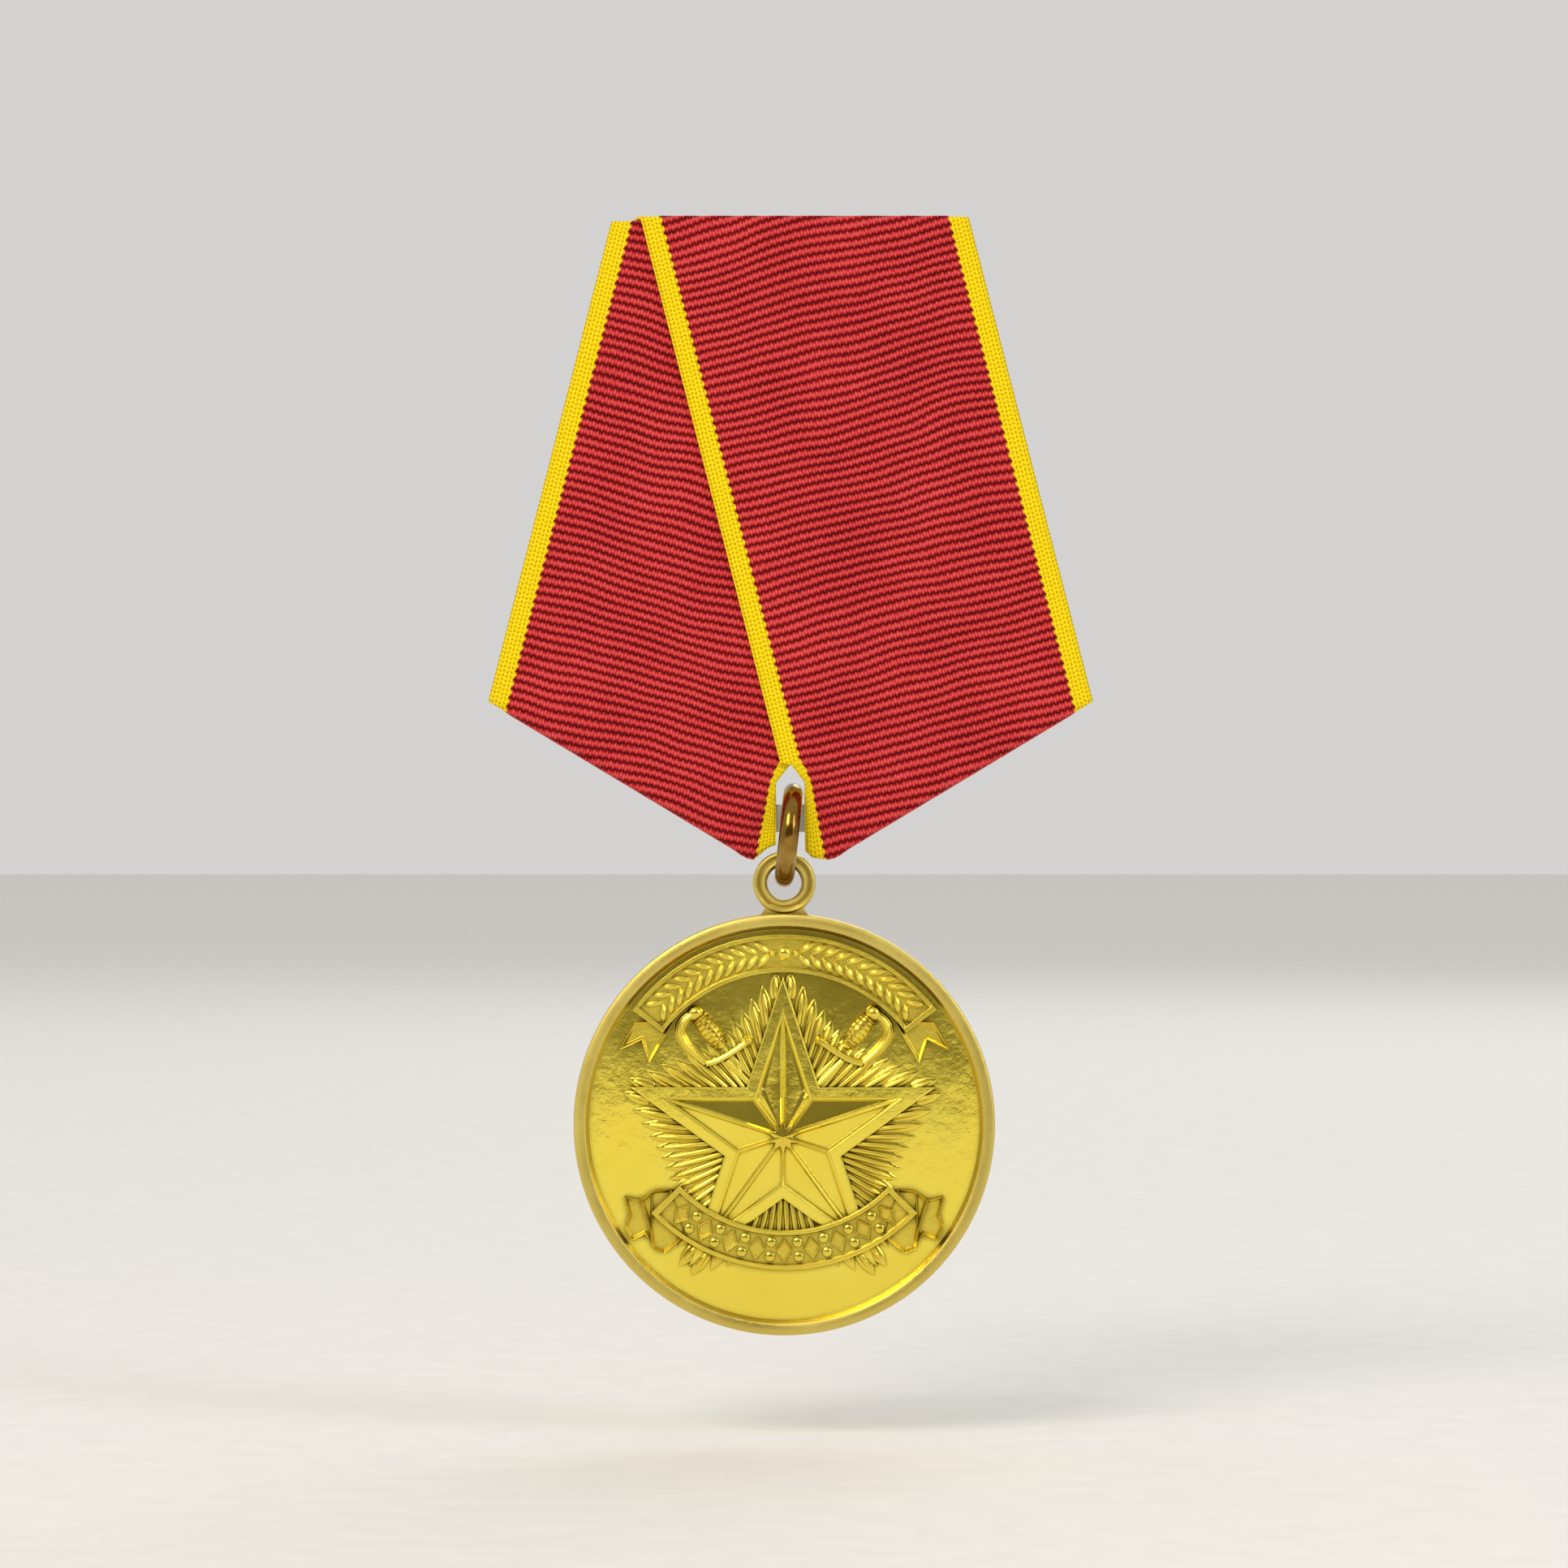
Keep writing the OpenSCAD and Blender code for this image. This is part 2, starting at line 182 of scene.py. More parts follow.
# %% [markdown]
# The disc is modelled lying flat, in millimetres, with its face upwards: x to the right,
# y to the top of the medal, z out of the face. It is easier to think of a coin on a
# bench, and one matrix at the end stands it up in its place. Small builders give the
# shapes that engravers use: a turned form, a flat shape with a raised border, a band
# bent round a centre, and a round lump.

# %% Builders for the struck forms
face_z = (disc_high.y - disc_low.y) / 2
field_z = face_z - 0.4
root_z = field_z - 0.32
struck = []


def keep(bm, name, material=0):
    """Closes a form, turns its faces outwards and keeps it for the final union."""
    bmesh.ops.remove_doubles(bm, verts=bm.verts, dist=0.0005)
    bmesh.ops.recalc_face_normals(bm, faces=bm.faces)
    for face in bm.faces:
        face.material_index = material
    mesh = bpy.data.meshes.new(name)
    bm.to_mesh(mesh)
    bm.free()
    made = bpy.data.objects.new(name, mesh)
    bpy.context.scene.collection.objects.link(made)
    struck.append(made)
    return made


def turned(name, profile, centre=(0, 0), steps=192, material=0):
    """A profile of (radius, height) points turned round an upright axis."""
    bm = bmesh.new()
    points = [bm.verts.new((centre[0] + r, centre[1], z)) for r, z in profile]
    loop = [bm.edges.new(pair) for pair in zip(points, points[1:] + points[:1])
            if pair[1] is not points[0] or profile[0][0] > 0]
    bmesh.ops.spin(bm, geom=points + loop, cent=(*centre, 0), axis=(0, 0, 1),
                   angle=math.tau, steps=steps, use_merge=True)
    return keep(bm, name, material)


def plaque(name, outline, top, floor, border, material=1):
    """A flat shape whose border stands above its floor."""
    bm = bmesh.new()
    face = bm.faces.new([bm.verts.new((x, y, root_z)) for x, y in outline])
    raised = bmesh.ops.extrude_face_region(bm, geom=[face])["geom"]
    verts = [g for g in raised if isinstance(g, bmesh.types.BMVert)]
    lid = next(g for g in raised if isinstance(g, bmesh.types.BMFace))
    bmesh.ops.translate(bm, verts=verts, vec=(0, 0, field_z + top - root_z))
    if border:
        bmesh.ops.inset_region(bm, faces=[lid], thickness=border, use_even_offset=True)
        bmesh.ops.translate(bm, verts=lid.verts, vec=(0, 0, floor - top))
    return keep(bm, name, material)


def bent_band(name, section, centre, middle, half_span, steps=40):
    """A band whose (radius, height) section runs round a centre, to both sides."""
    bm = bmesh.new()
    start = math.radians(middle - half_span)
    points = [bm.verts.new((centre[0] + r * math.cos(start),
                            centre[1] + r * math.sin(start), z)) for r, z in section]
    face = bm.faces.new(points)
    bmesh.ops.spin(bm, geom=[face] + face.verts[:] + face.edges[:], cent=(*centre, 0),
                   axis=(0, 0, 1), angle=math.radians(2 * half_span), steps=steps)
    return keep(bm, name, 1)


def lump(name, x, y, length, width, height, turn, segments=12, material=1):
    """A long round-backed form lying along an angle, half sunk in the field."""
    bm = bmesh.new()
    bmesh.ops.create_uvsphere(bm, u_segments=segments, v_segments=6, radius=1,
                              matrix=Matrix.Rotation(math.pi / 2, 4, "Y"))
    bmesh.ops.scale(bm, vec=(length / 2, width / 2, height), verts=bm.verts)
    bmesh.ops.rotate(bm, verts=bm.verts, matrix=Matrix.Rotation(math.radians(turn), 3, "Z"))
    bmesh.ops.translate(bm, verts=bm.verts, vec=(x, y, field_z))
    return keep(bm, name, material)


def lance(name, x, y, length, width, height, turn):
    """A round-backed leaf that keeps its width and then runs out in a point."""
    made = lump(name, 0, 0, 2, 2, 1, 0)
    half, f = length / 2, min(1, length / 2.8)
    rings = {-1.0: (-half, 0.0), -0.87: (-half + 0.1, 0.75), -0.5: (-half + 0.4, 1.0),
             0.0: (half - 1.7 * f, 1.0), 0.5: (half - 1.05 * f, 0.86),
             0.87: (half - 0.45 * f, 0.42), 1.0: (half, 0.0)}
    spin = Matrix.Rotation(math.radians(turn), 3, "Z")
    for v in made.data.vertices:
        ring = min(rings, key=lambda r: abs(r - v.co.x))
        along, share = rings[ring]
        share /= max(0.01, math.sqrt(1 - ring * ring))
        local = Vector((along, v.co.y * share * width / 2,
                        (v.co.z - field_z) * share * height))
        v.co = spin @ local + Vector((x, y, field_z))
    return made


def polar(radius, angle, centre=(0, 0)):
    """A point at a distance and an angle, in degrees, from a centre."""
    turn = math.radians(angle)
    return centre[0] + radius * math.cos(turn), centre[1] + radius * math.sin(turn)


# %% [markdown]
# The blank. Its rim is a flat, slightly matt band with a fine groove inside it, where
# the die stops. The field is not quite flat: the die is dished a little, which is why a
# struck field never reflects one even tone. A lathe profile says all of this in a dozen
# points. The eyelet is turned the same way, with two ridges round its hole.

# %% Blank and eyelet
rim_w = 1.2
dish = 0.32
field_r = disc_r - rim_w


def dished(r):
    """Height of the field at a radius, highest in the middle."""
    return field_z - 0.2 + dish * (1 - (r / field_r) ** 2)


front = [(field_r * k / 12, dished(field_r * k / 12)) for k in range(12)]
blank = turned("blank", [
    (0, -field_z), (field_r, -field_z), (field_r + 0.1, -face_z + 0.03),
    (field_r + 0.25, -face_z), (disc_r - 0.2, -face_z), (disc_r - 0.05, -face_z + 0.08),
    (disc_r, -face_z + 0.25), (disc_r, face_z - 0.25), (disc_r - 0.05, face_z - 0.08),
    (disc_r - 0.2, face_z), (field_r + 0.42, face_z), (field_r + 0.3, face_z - 0.06),
    (field_r + 0.22, face_z - 0.24), (field_r + 0.05, field_z - 0.2),
    (field_r - 0.1, dished(field_r - 0.1))] + front[::-1], steps=256)
eyelet_y = disc_high.z - disc_place.z - 2.4
turned("eyelet", [
    (1.3, -0.55), (1.45, -0.75), (1.6, -0.8), (2.15, -0.8), (2.35, -0.65), (2.4, -0.4),
    (2.4, 0.35), (2.32, 0.58), (2.18, 0.68), (2.05, 0.6), (1.92, 0.5), (1.8, 0.62),
    (1.66, 0.76), (1.5, 0.78), (1.36, 0.66), (1.3, 0.45)],
    centre=(0, eyelet_y), steps=72, material=2)
shoulder = plaque("shoulder", [(-2.3, 15.6), (2.3, 15.6), (1.75, 15.98), (1.5, 16.4),
                               (1.35, 16.75), (-1.35, 16.75), (-1.5, 16.4),
                               (-1.75, 15.98)], -0.4, 0, 0, 2)
bottom = min(v.co.z for v in shoulder.data.vertices)
for v in shoulder.data.vertices:
    v.co.z = 0.55 if v.co.z > bottom + 0.01 else -0.55
print("blank has", len(blank.data.polygons), "faces; eyelet centre at", round(eyelet_y, 2))

# %% [markdown]
# The glory behind the star is a burst of lance-shaped rays, fourteen between each pair
# of arms. They are longest beside the arms and shortest midway, so their tips draw a
# second, softer star. Each ray is a round-backed lance on a slightly wider one, which
# gives it the thin ledge that a graver leaves. They repeat, so each has few faces.

# %% Glory of rays
star_centre = (-0.1, -0.92)
star_r = 12.2
star_notch_r = 4.66
rays_per_arm = 14
pitch = 72 / rays_per_arm
ray_w = 0.8


def star_edge(aside):
    """Distance from the star's centre to its outline, at an angle from an arm."""
    a, half = math.radians(aside), math.pi / 5
    return (star_r * star_notch_r * math.sin(half)
            / (star_r * math.sin(a) + star_notch_r * math.sin(half - a)))


for arm in range(5):
    for k in range(rays_per_arm):
        aside = (k + 0.5) * pitch - 36
        angle = 90 + 72 * arm + aside
        tip = 9.0 + 3.9 * (1 - abs(aside) / 36) ** 2.2
        inner = star_edge(abs(aside)) - 0.35
        x, y = polar((tip + inner) / 2, angle, star_centre)
        lance("ray", x, y, tip - inner, ray_w * 0.66, 0.32, angle)
        x, y = polar((tip + inner) / 2 + 0.16, angle, star_centre)
        lance("ray_ledge", x, y, tip - inner + 0.3, ray_w * 1.3, 0.15, angle)
print("rays:", 5 * rays_per_arm)

# %% [markdown]
# The crossed sabres lie behind the star, so only their hilts show. A hilt is a ribbed
# grip, a round pommel, a bow that guards the knuckles and a cross-guard that ends in a
# ball. The right one is the mirror of the left one, so a side factor builds both.

# %% Crossed sabres


def rod(name, points, radius, sides=8, material=1):
    """A round wire through points at a height above the field."""
    curve = bpy.data.curves.new(name, "CURVE")
    curve.dimensions = "3D"
    curve.bevel_depth = radius
    curve.bevel_resolution = sides // 4
    curve.use_fill_caps = True
    line = curve.splines.new("POLY")
    line.points.add(len(points) - 1)
    for point, (x, y, h) in zip(line.points, points):
        point.co = (x, y, field_z + h, 1)
    holder = bpy.data.objects.new(name, curve)
    mesh = bpy.data.meshes.new_from_object(holder)
    bm = bmesh.new()
    bm.from_mesh(mesh)
    bpy.data.objects.remove(holder)
    return keep(bm, name, material)


def arc_points(start, middle, end, height, count=12):
    """Points along a smooth bow through three places."""
    made = []
    for k in range(count + 1):
        t = k / count
        weights = ((1 - t) ** 2, 2 * t * (1 - t), t * t)
        made.append((sum(w * p[0] for w, p in zip(weights, (start, middle, end))),
                     sum(w * p[1] for w, p in zip(weights, (start, middle, end))), height))
    return made


for side in (-1, 1):
    at = [(side * x, y) for x, y in ((-6.75, 8.45), (-4.55, 5.75), (-2.75, 6.35),
                                     (-5.95, 4.65), (-4.4, 4.85), (-1.5, 2.0))]
    pommel, collar, ball, bow_end, blade_top, blade_low = at
    reach = Vector(collar) - Vector(pommel)
    turn = math.degrees(math.atan2(reach.y, reach.x))
    grip = Vector(pommel) + reach * 0.5
    lump("grip", grip.x, grip.y, reach.length * 1.06, 1.4, 0.52, turn, 12)
    for k in range(7):
        spot = Vector(pommel) + reach * (0.16 + 0.115 * k)
        lump("grip_wire", spot.x, spot.y, 0.28, 1.58, 0.6, turn, 8)
    lump("pommel", *pommel, 1.25, 1.25, 0.55, 0, 12)
    bow = arc_points(pommel, (side * -9.4, 7.3), bow_end, 0.16)
    rod("knuckle_bow", bow, 0.27)
    rod("bow_ledge", [(x, y, -0.16) for x, y, h in bow], 0.46)
    rod("cross_guard", arc_points(bow_end, (side * -4.9, 4.7), ball, 0.28), 0.27)
    lump("guard_ball", *ball, 0.95, 0.95, 0.62, 0, 10)
    rod("blade_edge", [(*blade_top, 0.1), (*blade_low, 0.1)], 0.3)
    shift = Vector((side * 0.35, 0.35))
    rod("blade_back", [(*(Vector(blade_top) + shift), 0.1),
                       (*(Vector(blade_low) + shift), 0.1)], 0.22)

# %% [markdown]
# The star has a flat raised border, and inside it ten sunk facets that meet in narrow
# ribs: one down the middle of each arm and one to each notch. It falls towards its tips,
# more steeply in the two arms that pass under the lower scroll. A ten-sided circle whose
# every second corner is pulled in is a star. Insetting it gives the border, poking it
# gives the ten triangles, and insetting each one gives the ribs between them.

# %% Five-pointed star
star_top = 0.56
star_fall = 0.02


def star_form(radius, notch, points, centre, top):
    """An upright prism with a star outline, and its top face."""
    bm = bmesh.new()
    bmesh.ops.create_circle(bm, segments=2 * points, radius=1, cap_ends=True)
    bm.verts.ensure_lookup_table()
    for v in bm.verts:
        turn = math.degrees(math.atan2(v.co.y, v.co.x))
        step = round((turn - 90) / (180 / points))
        v.co.x, v.co.y = polar(radius if step % 2 == 0 else notch, turn)
        v.co.z = root_z
    raised = bmesh.ops.extrude_face_region(bm, geom=bm.faces[:])["geom"]
    lid = next(g for g in raised if isinstance(g, bmesh.types.BMFace))
    for v in lid.verts:
        v.co.z = field_z + top
    bmesh.ops.translate(bm, verts=bm.verts, vec=(*centre, 0))
    return bm, lid


bm, lid = star_form(star_r, star_notch_r, 5, star_centre, star_top)
bmesh.ops.recalc_face_normals(bm, faces=bm.faces)
bmesh.ops.inset_region(bm, faces=[lid], thickness=0.12, use_even_offset=True)
for v in lid.verts:
    v.co.z += 0.08
bmesh.ops.inset_region(bm, faces=[lid], thickness=0.6, use_even_offset=True)
bmesh.ops.inset_region(bm, faces=[lid], thickness=0.1, use_even_offset=True)
facets = bmesh.ops.poke(bm, faces=[lid])["faces"]
bmesh.ops.inset_individual(bm, faces=facets, thickness=0.13, use_even_offset=True)
for facet in facets:
    for v in facet.verts:
        v.co.z -= 0.1
bmesh.ops.inset_individual(bm, faces=facets, thickness=0.09, use_even_offset=True)
for facet in facets:
    for v in facet.verts:
        v.co.z -= 0.04
for v in bm.verts:
    away = (v.co.xy - Vector(star_centre)).length
    if v.co.z > field_z + 0.1:
        v.co.z -= star_fall * away * (2 if v.co.y < -6 else 1)
for facet in facets:
    for v in facet.verts:
        away = (v.co.xy - Vector(star_centre)).length
        turn = math.degrees(math.atan2(v.co.y - star_centre[1], v.co.x - star_centre[0]))
        off_arm = abs((turn - 90 + 36) % 72 - 36)
        v.co.z -= 0.012 * away + 0.08 * min(1, off_arm / 30) * min(1, away / 3.5)
star = keep(bm, "star", 0)
for face in star.data.polygons:
    if face.area < 0.9 or face.center.z < field_z:
        face.material_index = 1
bm, lid = star_form(1.3, 0.7, 10, star_centre, star_top + 0.16)
bmesh.ops.poke(bm, faces=[lid])
top_point = max(bm.verts, key=lambda v: v.co.z - (v.co.xy - Vector(star_centre)).length)
top_point.co.z += 0.14
keep(bm, "burst", 1)

# %% [markdown]
# Two scrolls frame the star. The real ones carry an inscription, and here they carry
# plain ornament instead: laurel leaves on the upper one and a run of lozenges and
# pearls on the lower one. A scroll is a band bent round a centre with a raised border
# along both edges, and its tails are flat shapes with the same border.

# %% Upper scroll
top_in, top_out = 11.6, 14.45
edge = 0.3
high, low = field_z + 0.38, field_z + 0.18
bent_band("upper_scroll", [
    (top_in, root_z), (top_out, root_z), (top_out, high), (top_out - edge, high),
    (top_out - edge - 0.06, low), (top_in + edge + 0.06, low), (top_in + edge, high),
    (top_in, high)], (0, 0), 90, 53)
for side in (-1, 1):
    plaque("swallow_tail", [(side * x, y) for x, y in (
        (-8.35, 7.9), (-11.35, 7.75), (-12.55, 5.65), (-10.85, 6.45), (-10.25, 4.65))],
        0.28, 0.06, 0.22)
    bent_band("scroll_end", [(top_in, root_z), (top_out, root_z), (top_out, high + 0.03),
                             (top_in, high + 0.03)], (0, 0), 90 + side * 52, 0.9, 3)
leaf_r = (top_in + top_out) / 2
for side in (-1, 1):
    for k in range(11):
        angle = 90 + side * (7.0 + 4.0 * k)
        for lean in (-1, 1):
            x, y = polar(leaf_r + 0.52 * lean, angle + side * 0.3)
            lump("laurel_leaf", x, y, 1.55, 0.62, 0.44,
                 angle + side * 90 + side * -lean * 40, 8)
    x, y = polar(leaf_r, 90 + side * 4.0)
    lump("laurel_bud", x, y, 0.6, 0.6, 0.42, 0, 8)
lump("laurel_middle", *polar(leaf_r, 90), 1.2, 1.2, 0.5, 0, 12)

# %% [markdown]
# The lower scroll stands highest of all and covers the feet of the star. Its ends fold
# back on themselves into a curl and then a tail, which are separate sheets one behind
# the other, so each is its own flat shape at its own height.

# %% Lower scroll
low_centre = (0, 3.0)
low_in, low_out = 11.0, 14.0
rim = 0.36
crest, floor = field_z + 0.64, field_z + 0.36
bent_band("lower_scroll", [
    (low_in, root_z), (low_out, root_z), (low_out, crest - 0.08), (low_out - 0.08, crest),
    (low_out - rim, crest), (low_out - rim - 0.08, floor), (low_in + rim + 0.08, floor),
    (low_in + rim, crest), (low_in + 0.08, crest), (low_in, crest - 0.08)],
    low_centre, 270, 46)
for side in (-1, 1):
    bent_band("scroll_hem", [(low_in + 0.1, root_z), (low_out - 0.1, root_z),
                             (low_out - 0.1, crest), (low_in + 0.1, crest)],
              low_centre, 270 + side * 45.2, 1.0, 3)
    plaque("scroll_curl", [(side * x, y) for x, y in (
        (-7.6, -8.2), (-7.9, -8.75), (-9.1, -9.75), (-10.0, -9.4), (-10.15, -8.1),
        (-10.9, -5.75), (-9.9, -5.0), (-8.6, -4.9))], 0.46, 0.12, 0.24)
    plaque("scroll_tail", [(side * x, y) for x, y in (
        (-10.0, -5.3), (-11.0, -5.7), (-12.15, -5.45), (-11.75, -6.9), (-12.1, -7.7),
        (-11.6, -8.8), (-10.6, -8.3), (-10.1, -8.9))], 0.34, 0.02, 0.22)
ornament_r = (low_in + low_out) / 2
for k in range(-4, 5):
    x, y = polar(ornament_r, 270 + 9.6 * k, low_centre)
    plaque("lozenge", [polar(size, 270 + 9.6 * k + 90 * q, (x, y))
                       for q, size in enumerate((0.85, 0.62, 0.85, 0.62))], 0.6, 0.44, 0.15)
    if k < 4:
        for shift in (-0.55, 0.55):
            x, y = polar(ornament_r + shift, 270 + 9.6 * (k + 0.5), low_centre)
            plaque("pearl", [polar(0.36, 36 * q, (x, y)) for q in range(10)], 0.54, 0.62,
                   0.14)
print("struck forms:", len(struck))

# %% [markdown]
# A struck medal is one piece of metal, so the forms are united into one closed shell
# with the blank. The Boolean modifier does it, with every form in one collection.

# %% Unite the disc
forms = bpy.data.collections.new("struck_forms")
for form in struck[1:]:
    bpy.context.scene.collection.objects.unlink(form)
    forms.objects.link(form)
medal = blank
medal.name = "struck_medal"
for finish in (field_brass, relief_brass, rim_brass):
    medal.data.materials.append(finish)
    for form in struck[1:]:
        form.data.materials.append(finish)
union = medal.modifiers.new("union", "BOOLEAN")
union.operation = "UNION"
union.operand_type = "COLLECTION"
union.collection = forms
union.solver = "EXACT"
united = bpy.data.meshes.new_from_object(
    medal.evaluated_get(bpy.context.evaluated_depsgraph_get()))
medal.modifiers.clear()
medal.data = united
for form in struck[1:]:
    bpy.data.objects.remove(form)
bm = bmesh.new()
bm.from_mesh(united)
bmesh.ops.remove_doubles(bm, verts=bm.verts, dist=0.002)
for face in bm.faces:
    at = face.calc_center_median()
    if at.xy.length > field_r + 0.12 and face.material_index == 0:
        face.material_index = 2
stand = Matrix.Translation(disc_place * MM) @ Matrix.Rotation(math.pi / 2, 4, "X")
bmesh.ops.transform(bm, matrix=stand @ Matrix.Scale(MM, 4), verts=bm.verts)
bm.to_mesh(united)
open_edges = sum(1 for e in bm.edges if not e.is_manifold)
bm.free()
united.shade_smooth()
united.set_sharp_from_angle(angle=math.radians(32))
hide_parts("medal_disc")
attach(medal, "medal")
print("medal:", len(united.polygons), "faces,", open_edges, "open edges")

# %% [markdown]
# Aged brass wire, nickelled steel and rolled aluminium. The ring is drawn wire that has
# been bent, so its marks run along it, and it has gone browner than the disc because it
# was never lacquered. The pin is nickelled steel with a satin polish. The plates are
# rolled aluminium sheet, and rolling leaves fine parallel lines.

# %% Metals of the fittings


def fitting_metal(name, colours, roughness, line_scale, streak, wear):
    """A plain metal with cloudy tarnish and fine lines that run one way."""
    finish, tree, shader = new_finish(name, Metallic=1.0)
    place = add(tree, "TexCoord").outputs["Object"]
    cloud = add(tree, "TexNoise", {"Vector": place},
                {"Scale": 1 / (3.5 * MM), "Detail": 5.0, "Roughness": 0.6})
    colour = ramp(tree, cloud.outputs["Fac"],
                  list(zip((0.32, 0.52, 0.7), colours)))
    tree.links.new(colour, shader.inputs["Base Color"])
    stretched = add(tree, "Mapping", {"Vector": place}, {"Scale": streak})
    lines = add(tree, "TexNoise", {"Vector": stretched.outputs[0]},
                {"Scale": 1 / (line_scale * MM), "Detail": 2.0})
    rough = add(tree, "MapRange", {"Value": lines.outputs["Fac"]},
                {"From Min": 0.3, "From Max": 0.7, "To Min": roughness * 0.75,
                 "To Max": roughness * 1.3})
    tree.links.new(rough.outputs[0], shader.inputs["Roughness"])
    rounded = add(tree, "Bevel", inputs={"Radius": 0.09 * MM}, samples=6)
    bump = add(tree, "Bump", {"Height": lines.outputs["Fac"], "Normal": rounded.outputs[0]},
               {"Strength": wear, "Distance": 0.03 * MM})
    tree.links.new(bump.outputs[0], shader.inputs["Normal"])
    return finish


wire_brass = fitting_metal("darkened_drawn_brass_wire", ("#6A3C14", "#9A7834", "#C2A658"),
                           0.16, 0.2, (1.0, 0.15, 0.15), 0.15)
aluminium = fitting_metal("rolled_aluminium_sheet", ("#C3C4C5", "#C9CACB", "#CFD0D1"),
                          0.36, 0.12, (0.06, 1.0, 1.0), 0.22)
nickel = fitting_metal("nickelled_steel", ("#B5AFA6", "#C6C2BB", "#D2CFC9"),
                       0.2, 0.1, (0.08, 1.0, 1.0), 0.12)
rivet_brass = fitting_metal("upset_brass_rivet", ("#B08A3E", "#CDAA57", "#DCC07A"),
                            0.28, 0.15, (1.0, 1.0, 1.0), 0.2)
for node_name, finish in (("base_plate", aluminium), ("back_plate", aluminium),
                          ("pin_bar", nickel), ("needle", nickel),
                          ("catch_housing", nickel), ("catch_barrel", nickel),
                          ("hinge_pin", rivet_brass), ("pin_bar_rivets", rivet_brass)):
    node_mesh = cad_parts[node_name].data
    node_mesh.materials.clear()
    node_mesh.materials.append(finish)

# %% [markdown]
# The jump ring is a length of round wire bent until its sawn ends meet. A circle spun
# nearly all the way round, about the ring's own axis, leaves just that saw cut. It is
# turned to lean on its bar as the frame's ring does.

# %% Jump ring
wire_r = 0.75
ring_r = (ring_high.y - ring_low.y) / 2 - wire_r
ring_lean = math.radians(6)
cut = 0.08 / ring_r
bm = bmesh.new()
made = bmesh.ops.create_circle(bm, segments=28, radius=wire_r, cap_ends=True)
bmesh.ops.translate(bm, verts=made["verts"], vec=(0, ring_r, 0))
bmesh.ops.rotate(bm, verts=bm.verts, matrix=Matrix.Rotation(cut / 2, 3, "X"))
bmesh.ops.spin(bm, geom=bm.verts[:] + bm.edges[:] + bm.faces[:], cent=(0, 0, 0),
               axis=(1, 0, 0), angle=math.tau - cut, steps=112)
bmesh.ops.recalc_face_normals(bm, faces=bm.faces)
bmesh.ops.rotate(bm, verts=bm.verts, matrix=Matrix.Rotation(ring_lean, 3, "Y"))
bmesh.ops.translate(bm, verts=bm.verts, vec=(ring_low + ring_high) / 2)
bmesh.ops.scale(bm, vec=(MM, MM, MM), verts=bm.verts)
ring_mesh = bpy.data.meshes.new("jump_ring_wire")
bm.to_mesh(ring_mesh)
bm.free()
ring_mesh.shade_smooth()
ring_mesh.set_sharp_from_angle(angle=math.radians(40))
ring_mesh.materials.append(wire_brass)
ring_piece = bpy.data.objects.new("jump_ring_wire", ring_mesh)
bpy.context.scene.collection.objects.link(ring_piece)
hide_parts("jump_ring")
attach(ring_piece, "ring")
print("ring of", round(2 * (ring_r + wire_r), 2), "mm, cut", round(cut * ring_r, 2))

# %% [markdown]
# Grosgrain ribbon. A thick filling thread lies across the ribbon under many fine warp
# threads, so the cloth shows round ribs across its width. The ribs here are 0.69 mm
# apart and the warp threads a quarter of a millimetre. One red is painted lighter on the
# crown of a rib, a painted highlight, and nearly black-red in the gap between two ribs,
# a painted shade. The edges are a narrow yellow selvage in plain weave, painted darker
# between its threads and lighter on them. The ribbon's own map runs in millimetres,
# across in u and along in v, so the weave follows the cloth round every fold.

# %% Woven ribbon finish
rib_pitch = 0.69
warp_pitch = 0.24
selvage_w = 1.5
block_h, top_w, corner_rise, foot_x = 48.9, 27.0, 11.9, 3.2
block_w = 2 * over_high.x
low_angle = math.atan(corner_rise / (block_w / 2 - foot_x))
side_angle = math.atan((block_w - top_w) / 2 / (block_h - corner_rise))
leg_gap = 1.1
leg_top = block_h * math.tan(side_angle) - leg_gap
ribbon_w = (top_w / 2 + leg_top) * math.cos(side_angle)
print("ribbon width", round(ribbon_w, 2))

grosgrain, tree, shader = new_finish("rayon_grosgrain", Roughness=0.62, Sheen_Weight=0.08,
                                     Sheen_Roughness=0.4)
shader.inputs["Specular IOR Level"].default_value = 0.12
cloth_map = add(tree, "UVMap", uv_map="weave").outputs["UV"]
across_along = add(tree, "SeparateXYZ", {"Vector": cloth_map})
across, along = across_along.outputs["X"], across_along.outputs["Y"]
fuzz = add(tree, "TexNoise", {"Vector": cloth_map}, {"Scale": 3.2, "Detail": 4.0})
patch = add(tree, "TexNoise", {"Vector": cloth_map}, {"Scale": 0.16, "Detail": 3.0})
# warp threads: a rounded crown each, with every second one set half a step along
warp_turn = add(tree, "Math", {0: across}, {1: math.pi / warp_pitch}, operation="MULTIPLY")
warp_wave = add(tree, "Math", {0: warp_turn.outputs[0]}, operation="SINE")
warp_crown = add(tree, "Math", {0: warp_wave.outputs[0]}, operation="ABSOLUTE")
step_along = add(tree, "Math", {0: warp_wave.outputs[0], 2: along},
                 {1: 0.055}, operation="MULTIPLY_ADD")
fuzzy_along = add(tree, "Math", {0: fuzz.outputs["Fac"], 2: step_along.outputs[0]},
                  {1: 0.14}, operation="MULTIPLY_ADD")
rib_turn = add(tree, "Math", {0: fuzzy_along.outputs[0]}, {1: math.pi / rib_pitch},
               operation="MULTIPLY")
rib_wave = add(tree, "Math", {0: rib_turn.outputs[0]}, operation="COSINE")
rib_crown = add(tree, "Math", {0: rib_wave.outputs[0]}, operation="ABSOLUTE")
